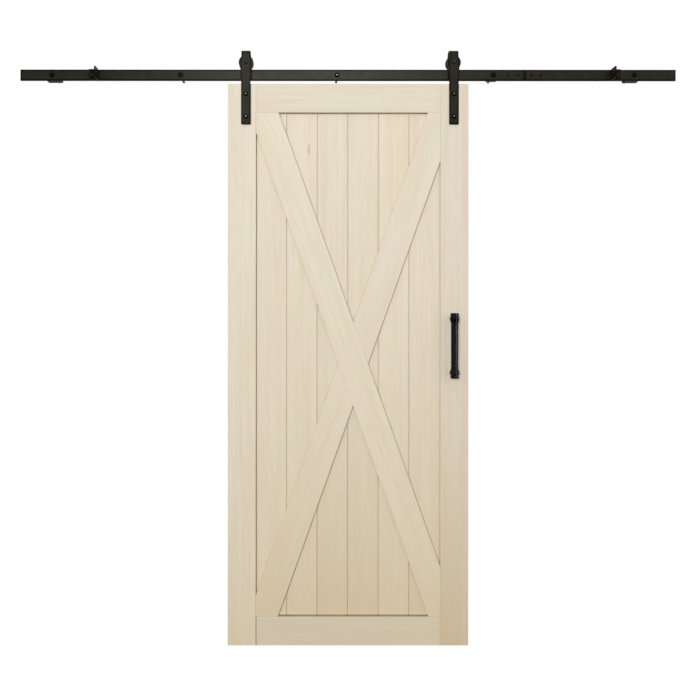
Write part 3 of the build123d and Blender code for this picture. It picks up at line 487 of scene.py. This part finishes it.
coats = {
    "trackCoat": {
        "dark": linear(19, 19, 13), "light": linear(29, 28, 20), "cloudScale": 30.0, "roughness": 0.40,
        "peelScale": 900.0, "peelHeight": 0.00003, "specular": 0.14, "tint": (1.0, 0.98, 0.82, 1),
        "rim": linear(8, 8, 6), "rimRadius": 0.0120, "rimStrength": 0.9, "reflectionlessEdgeShade": True,
        "fullLean": 0.975, "edgeRound": 0.0012,
    },
    "strapCoat": {
        "dark": linear(21, 20, 13), "light": linear(31, 29, 20), "cloudScale": 30.0, "roughness": 0.40,
        "peelScale": 900.0, "peelHeight": 0.00003, "specular": 0.09, "tint": (1.0, 0.97, 0.80, 1),
        "rim": linear(8, 8, 6), "rimRadius": 0.0120, "rimStrength": 0.9, "reflectionlessEdgeShade": True,
        "fullLean": 0.975, "edgeRound": 0.0012,
    },
    "boltCoat": {
        "dark": linear(5, 5, 4), "light": linear(9, 9, 7), "cloudScale": 80.0, "roughness": 0.34,
        "peelScale": 1500.0, "peelHeight": 0.00002, "specular": 0.05, "tint": (1.0, 0.97, 0.86, 1),
        "rim": linear(3, 3, 3), "rimRadius": 0.0010, "rimStrength": 0.6, "edgeRound": 0.0004,
    },
    "axleCoat": {
        "dark": linear(36, 36, 30), "light": linear(46, 46, 38), "cloudScale": 80.0, "roughness": 0.38,
        "peelScale": 1200.0, "peelHeight": 0.00002, "specular": 0.16, "tint": (1.0, 0.97, 0.86, 1),
        "rim": linear(60, 60, 52), "rimRadius": 0.0008, "rimStrength": 0.5, "edgeRound": 0.0004,
    },
    "handleCoat": {
        "dark": linear(5, 7, 9), "light": linear(9, 12, 14), "cloudScale": 40.0, "roughness": 0.26,
        "peelScale": 1200.0, "peelHeight": 0.00002, "specular": 0.12, "tint": (0.86, 0.96, 1.0, 1),
        "rim": linear(3, 4, 5), "rimRadius": 0.0014, "rimStrength": 0.9, "reflectionlessEdgeShade": True,
        "edgeRound": 0.0006,
    },
    "wheelNylon": {
        "dark": linear(12, 12, 12), "light": linear(22, 22, 21), "cloudScale": 60.0, "roughness": 0.50,
        "peelScale": 700.0, "peelHeight": 0.00003, "specular": 0.20, "tint": (1, 1, 1, 1),
        "rim": linear(30, 30, 29), "rimRadius": 0.0010, "rimStrength": 0.5, "edgeRound": 0.0005,
    },
    "zincPlate": {
        "dark": linear(150, 152, 155), "light": linear(200, 200, 202), "cloudScale": 120.0,
        "roughness": 0.32, "peelScale": 1400.0, "peelHeight": 0.00002, "specular": 0.50,
        "metallic": 1.0, "tint": (1, 1, 1, 1), "rim": linear(220, 220, 222), "rimRadius": 0.0006,
        "rimStrength": 0.6, "edgeRound": 0.0003,
    },
    "bearingSteel": {
        "dark": linear(160, 160, 162), "light": linear(190, 190, 192), "cloudScale": 150.0,
        "roughness": 0.24, "peelScale": 2000.0, "peelHeight": 0.00001, "specular": 0.50,
        "metallic": 1.0, "tint": (1, 1, 1, 1), "rim": linear(215, 215, 217), "rimRadius": 0.0006,
        "rimStrength": 0.6, "edgeRound": 0.0003,
    },
    "dowelWood": {
        "dark": linear(205, 176, 132), "light": linear(226, 203, 163), "cloudScale": 200.0,
        "roughness": 0.60, "peelScale": 900.0, "peelHeight": 0.00005, "specular": 0.30,
        "tint": (1, 1, 1, 1), "rim": linear(180, 150, 106), "rimRadius": 0.0008, "rimStrength": 0.6,
        "edgeRound": 0.0004,
    },
}
finishes = {name: coatMaterial(name, look) for name, look in coats.items()}

slotFinish = {
    "black_steel": "trackCoat", "black_fasteners": "boltCoat", "zinc_steel": "zincPlate",
    "bearing_steel": "bearingSteel", "wheel_nylon": "wheelNylon", "black_handle": "handleCoat",
    "dowel_wood": "dowelWood",
}
for name, node in nodes.items():
    if name not in boards:
        finishName = slotFinish[node.data.materials[0].name]
        if name.endswith("axle_bolt"):
            finishName = "axleCoat"
        elif name.endswith("strap"):
            finishName = "strapCoat"
        node.data.materials.clear()
        node.data.materials.append(finishes[finishName])
print("coats on", len(nodes) - len(boards), "nodes")


# Repeated small metal. Each tree puts one part on the points of a mesh, one mesh on each body.

def newShapeTree(name, sizes):
    # A Geometry Nodes tree with a named input for each size. Returns the tree and its input sockets.
    tree = bpy.data.node_groups.new(name, "GeometryNodeTree")
    tree.interface.new_socket("Geometry", in_out="INPUT", socket_type="NodeSocketGeometry")
    tree.interface.new_socket("Geometry", in_out="OUTPUT", socket_type="NodeSocketGeometry")
    for title in sizes:
        tree.interface.new_socket(title, in_out="INPUT", socket_type="NodeSocketFloat")
    return tree, tree.nodes.new("NodeGroupInput").outputs


def finishShapeTree(tree, points, part, turn, material):
    # Puts the part on every point, then ends in Realize Instances and Set Material.
    placed = put(
        tree, "GeometryNodeInstanceOnPoints", {"Points": points, "Instance": part, "Rotation": turn}
    ).outputs[0]
    whole = put(tree, "GeometryNodeRealizeInstances", {0: placed}).outputs[0]
    painted = put(tree, "GeometryNodeSetMaterial", {"Geometry": whole, "Material": material}).outputs[0]
    result = tree.nodes.new("NodeGroupOutput")
    tree.links.new(painted, result.inputs[0])


def makePiece(name, body, tree, sizes, places):
    # Runs a tree on points at the places and keeps the plain mesh as a piece of the body.
    pointMesh = bpy.data.meshes.new(name + "Points")
    pointMesh.from_pydata(places, [], [])
    carrier = bpy.data.objects.new(name + "Carrier", pointMesh)
    scene.collection.objects.link(carrier)
    modifier = carrier.modifiers.new("shape", "NODES")
    modifier.node_group = tree
    for item in tree.interface.items_tree:
        if item.in_out == "INPUT" and item.name in sizes:
            modifier[item.identifier] = sizes[item.name]
    evaluated = carrier.evaluated_get(bpy.context.evaluated_depsgraph_get())
    mesh = bpy.data.meshes.new_from_object(evaluated)
    bpy.data.objects.remove(carrier)
    mesh.name = name
    piece = bpy.data.objects.new(name, mesh)
    scene.collection.objects.link(piece)
    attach(piece, body)
    print(name, "has", len(mesh.polygons), "faces")


# Lag threads: a ridge wound round each shank inside the wall, and round its point

lagThread = {
    "sizes": {
        "Shank Radius": 0.0040,
        "Ridge": 0.0006,
        "Length": 0.0290,
        "Turns": 8.0,
        "Tip Radius": 0.0009,
        "Tip Length": 0.0062,
        "Tip Turns": 2.0,
    },
    "ridgeSides": 3,
    "turnSteps": 20,
    "start": 0.001,  # how deep in the wall the ridge begins
}


def buildThreadTree(material):
    tree, size = newShapeTree("lagThread", lagThread["sizes"])
    steps = lagThread["turnSteps"]
    ridge = put(
        tree, "GeometryNodeCurvePrimitiveCircle",
        {"Resolution": lagThread["ridgeSides"], "Radius": size["Ridge"]},
    )
    shank = put(
        tree, "GeometryNodeCurveSpiral",
        {
            "Resolution": steps, "Rotations": size["Turns"], "Start Radius": size["Shank Radius"],
            "End Radius": size["Shank Radius"], "Height": size["Length"],
        },
    )
    tip = put(
        tree, "GeometryNodeCurveSpiral",
        {
            "Resolution": steps, "Rotations": size["Tip Turns"], "Start Radius": size["Shank Radius"],
            "End Radius": size["Tip Radius"], "Height": size["Tip Length"],
        },
    )
    lift = put(tree, "ShaderNodeCombineXYZ", {2: size["Length"]}).outputs[0]
    tip = put(tree, "GeometryNodeTransform", {"Geometry": tip.outputs[0], "Translation": lift})
    lines = tree.nodes.new("GeometryNodeJoinGeometry")
    tree.links.new(shank.outputs[0], lines.inputs[0])
    tree.links.new(tip.outputs[0], lines.inputs[0])
    ridges = put(
        tree, "GeometryNodeCurveToMesh",
        {"Curve": lines.outputs[0], "Profile Curve": ridge.outputs[0], "Fill Caps": True},
    ).outputs[0]
    smooth = put(tree, "GeometryNodeSetShadeSmooth", {"Geometry": ridges}).outputs[0]
    finishShapeTree(tree, size["Geometry"], smooth, (-math.pi / 2, 0, 0), material)
    return tree


def islandPlaces(name):
    # Middles of the separate solids of a node, from its mesh.
    mesh = nodes[name].data
    parent = list(range(len(mesh.vertices)))

    def root(index):
        while parent[index] != index:
            parent[index] = parent[parent[index]]
            index = parent[index]
        return index

    seen = {}
    for vertex in mesh.vertices:
        key = tuple(round(value, 6) for value in vertex.co)
        parent[root(vertex.index)] = root(seen.setdefault(key, vertex.index))
    for edge in mesh.edges:
        parent[root(edge.vertices[0])] = root(edge.vertices[1])
    groups = {}
    for vertex in mesh.vertices:
        groups.setdefault(root(vertex.index), []).append(vertex.co)
    places = []
    for group in groups.values():
        axes = list(zip(*group))
        places.append(tuple((min(axis) + max(axis)) / 2 for axis in axes))
    return places


lagPlaces = [
    (x, lagThread["start"], z)
    for x, y, z in islandPlaces("flush_lag_screws") + islandPlaces("middle_lag_bolt")
]
threadTree = buildThreadTree(finishes["zincPlate"])
makePiece("lag_threads", "track", threadTree, lagThread["sizes"], lagPlaces)

# Socket floors: the bright drilled bottom of the hexagon sockets

socketFloor = {"Wide": 0.0028, "Narrow": 0.0012, "Rise": 0.0007}
socketSides = 6


def buildSocketTree(material):
    tree, size = newShapeTree("socketFloor", socketFloor)
    cone = put(
        tree, "GeometryNodeMeshCone",
        {
            "Vertices": socketSides, "Radius Top": size["Narrow"], "Radius Bottom": size["Wide"],
            "Depth": size["Rise"],
        },
    ).outputs[0]
    finishShapeTree(tree, size["Geometry"], cone, (math.pi / 2, 0, 0), material)
    return tree


socketFloors = {
    "track_socket_floors": {
        "body": "track", "finish": "zincPlate", "depth": 0.0022, "holders": ["middle_lag_bolt"]
    },
    "door_socket_floors": {
        "body": "door", "finish": "zincPlate", "depth": 0.0022, "holders": ["strap_bolts"]
    },
    "axle_socket_floors": {
        "body": "door", "finish": "axleCoat", "depth": 0.0010,
        "holders": ["left_axle_bolt", "right_axle_bolt"],
    },
}
for name, floors in socketFloors.items():
    places = [
        (x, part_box(holder)[0].y + floors["depth"], z)
        for holder in floors["holders"] for x, y, z in islandPlaces(holder)
    ]
    socketTree = buildSocketTree(finishes[floors["finish"]])
    makePiece(name, floors["body"], socketTree, socketFloor, places)

# Set screws of the grip's caps: a rim round a six-sided socket, a little to the right of the front

setScrew = {
    "sizes": {
        "Ring Radius": 0.0016,
        "Ring Width": 0.0004,
        "Socket Radius": 0.0013,
        "Socket Floor": 0.0004,
        "Socket Depth": 0.0005,
    },
    "ringSteps": 24,
    "rimSides": 8,
    "capRadius": 0.0153,
    "angle": math.radians(12),
    "rise": 0.1105,  # from the grip's middle to a cap's screw
}


def buildSetScrewTree(material, turn):
    tree, size = newShapeTree("setScrew", setScrew["sizes"])
    ring, width = (
        put(tree, "GeometryNodeCurvePrimitiveCircle", {"Resolution": setScrew[steps], "Radius": size[radius]})
        for steps, radius in (("ringSteps", "Ring Radius"), ("rimSides", "Ring Width"))
    )
    rim = put(
        tree, "GeometryNodeCurveToMesh", {"Curve": ring.outputs[0], "Profile Curve": width.outputs[0]}
    ).outputs[0]
    socket = put(
        tree, "GeometryNodeMeshCone",
        {
            "Vertices": socketSides, "Radius Top": size["Socket Floor"],
            "Radius Bottom": size["Socket Radius"], "Depth": size["Socket Depth"],
        },
    ).outputs[0]
    both = tree.nodes.new("GeometryNodeJoinGeometry")
    tree.links.new(rim, both.inputs[0])
    tree.links.new(socket, both.inputs[0])
    finishShapeTree(tree, size["Geometry"], both.outputs[0], turn, material)
    return tree


gripLow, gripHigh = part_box("handle_grip")
gripMiddle = (gripLow + gripHigh) / 2
gripAxis = Vector((gripMiddle.x, gripLow.y + (gripHigh.x - gripLow.x) / 2, gripMiddle.z))
capRadius, screwAngle = setScrew["capRadius"], setScrew["angle"]
screwPlaces = [
    gripAxis + Vector((capRadius * math.sin(screwAngle), -capRadius * math.cos(screwAngle), rise))
    for rise in (setScrew["rise"], -setScrew["rise"])
]
screwTree = buildSetScrewTree(finishes["boltCoat"], (math.pi / 2, 0, screwAngle))
makePiece("grip_set_screws", "door", screwTree, setScrew["sizes"], screwPlaces)


# Studio: white surroundings, a pale floor just under the leaf and a key from the front, a little from the
# left. The top box and the side strip show in reflections only.

studio = {
    "floorGap": 0.012,
    "floorReach": 5.0,
    "floorGlow": 0.93,
    "floorTones": (linear(108, 108, 107), linear(112, 112, 111)),
    "floorMottle": 3.0,
    "floorRoughness": 0.9,
    "floorSpecular": 0.1,
    "ambient": 0.60,
    "sunStrength": 1.58,
    "sunFrom": (-0.33, -1.0, 0.15),
    "sunAngle": math.radians(11.0),
    "boxPlace": (-0.11, -2.35, 1.02),
    "boxSize": (1.7, 0.8),
    "boxPower": 42.0,
    "stripPlace": (1.95, -1.90, -1.03),
    "stripSize": (0.07, 1.6),
    "stripPower": 44.0,
}

world = bpy.data.worlds.new("studio")
scene.world = world
world.use_nodes = True
worldTree = world.node_tree
worldTree.nodes.clear()
rays = put(worldTree, "ShaderNodeLightPath").outputs
seen = calc(worldTree, "MAXIMUM", rays["Is Camera Ray"], rays["Is Glossy Ray"])
seen = calc(worldTree, "MAXIMUM", seen, rays["Is Transmission Ray"])
lit = put(worldTree, "ShaderNodeBackground", {"Color": (1, 1, 1, 1), "Strength": studio["ambient"]})
white = put(worldTree, "ShaderNodeBackground", {"Color": (1, 1, 1, 1), "Strength": 1.0})
either = put(worldTree, "ShaderNodeMixShader", {0: seen, 1: lit.outputs[0], 2: white.outputs[0]})
put(worldTree, "ShaderNodeOutputWorld", {0: either.outputs[0]})

floorZ = cadBox[0].z - studio["floorGap"]
reach = studio["floorReach"]
floorMesh = bpy.data.meshes.new("floor")
floorMesh.from_pydata(
    [(-reach, -reach, floorZ), (reach, -reach, floorZ), (reach, reach, floorZ), (-reach, reach, floorZ)],
    [], [(0, 1, 2, 3)],
)
floor = bpy.data.objects.new("floor", floorMesh)
scene.collection.objects.link(floor)
floorMaterial, floorTree, floorShader, floorCoordinates = newMaterial("paleFloor")
floorShader.inputs["Roughness"].default_value = studio["floorRoughness"]
floorShader.inputs["Specular IOR Level"].default_value = studio["floorSpecular"]
mottle = noise(floorTree, floorCoordinates, studio["floorMottle"], detail=3.0)
floorTone = mixColour(floorTree, mottle, *studio["floorTones"])
floorTree.links.new(floorTone, floorShader.inputs["Base Color"])
floorRays = put(floorTree, "ShaderNodeLightPath").outputs
glowStrength = calc(floorTree, "MULTIPLY", floorRays["Is Camera Ray"], studio["floorGlow"])
glow = put(floorTree, "ShaderNodeEmission", {"Color": (1, 1, 1, 1), "Strength": glowStrength})
together = put(floorTree, "ShaderNodeAddShader", {0: floorShader.outputs[0], 1: glow.outputs[0]})
floorTree.links.new(together.outputs[0], floorTree.nodes["Material Output"].inputs[0])
floorMesh.materials.append(floorMaterial)


def aimAt(lamp, place, target):
    lamp.location = place
    lamp.rotation_euler = (Vector(target) - Vector(place)).to_track_quat("-Z", "Y").to_euler()
    scene.collection.objects.link(lamp)


sunData = bpy.data.lights.new("key", "SUN")
sunData.energy = studio["sunStrength"]
sunData.angle = studio["sunAngle"]
sun = bpy.data.objects.new("key", sunData)
sun.visible_glossy = False
aimAt(sun, studio["sunFrom"], (0, 0, 0))

boxData = bpy.data.lights.new("topBox", "AREA")
boxData.shape = "RECTANGLE"
boxData.size, boxData.size_y = studio["boxSize"]
boxData.energy = studio["boxPower"]
box = bpy.data.objects.new("topBox", boxData)
box.visible_diffuse = False
aimAt(box, studio["boxPlace"], (0.0, 0.0, 0.0))

stripData = bpy.data.lights.new("strip", "AREA")
stripData.shape = "RECTANGLE"
stripData.size, stripData.size_y = studio["stripSize"]
stripData.energy = studio["stripPower"]
strip = bpy.data.objects.new("strip", stripData)
strip.visible_diffuse = False
aimAt(strip, studio["stripPlace"], gripAxis)
print("studio lit")
